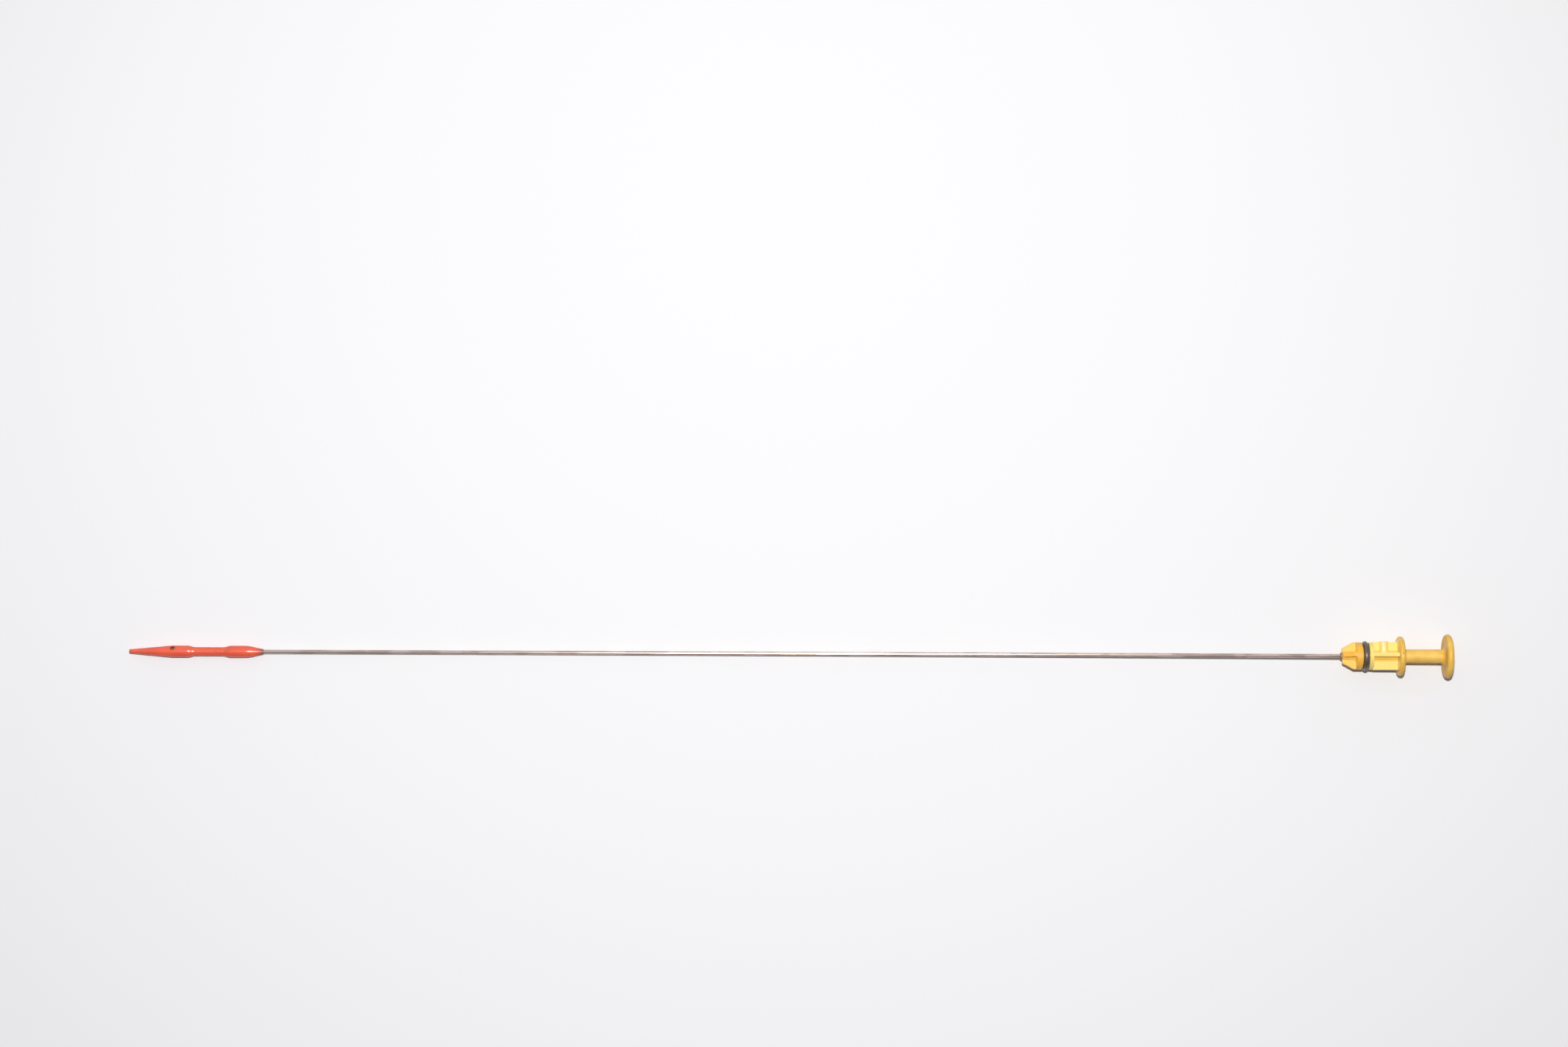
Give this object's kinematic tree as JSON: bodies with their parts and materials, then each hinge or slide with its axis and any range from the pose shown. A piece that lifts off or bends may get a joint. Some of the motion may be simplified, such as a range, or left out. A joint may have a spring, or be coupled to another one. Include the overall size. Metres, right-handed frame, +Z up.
{
  "type": "engine oil dipstick",
  "caption": "Long steel wire with a red moulded measuring tip and a yellow pull handle, whose ribbed plug with a rubber ring closes the opening that the wire goes down.",
  "frame": {"origin": "on the surface that the part lies on, under the middle of its box", "axes": "+X from the tip to the handle, +Z up from the surface that the part lies on"},
  "size_m": [0.6016, 0.02, 0.02],
  "materials": {
    "handle_yellow": "moulded",
    "ring_rubber": "smooth",
    "wire_steel": "drawn",
    "tip_red": "moulded"
  },
  "bodies": {
    "root": {"pull_handle": "handle_yellow", "sealing_ring": "ring_rubber", "stem_wire": "wire_steel", "gauge_tip": "tip_red"}
  },
  "joints": []
}
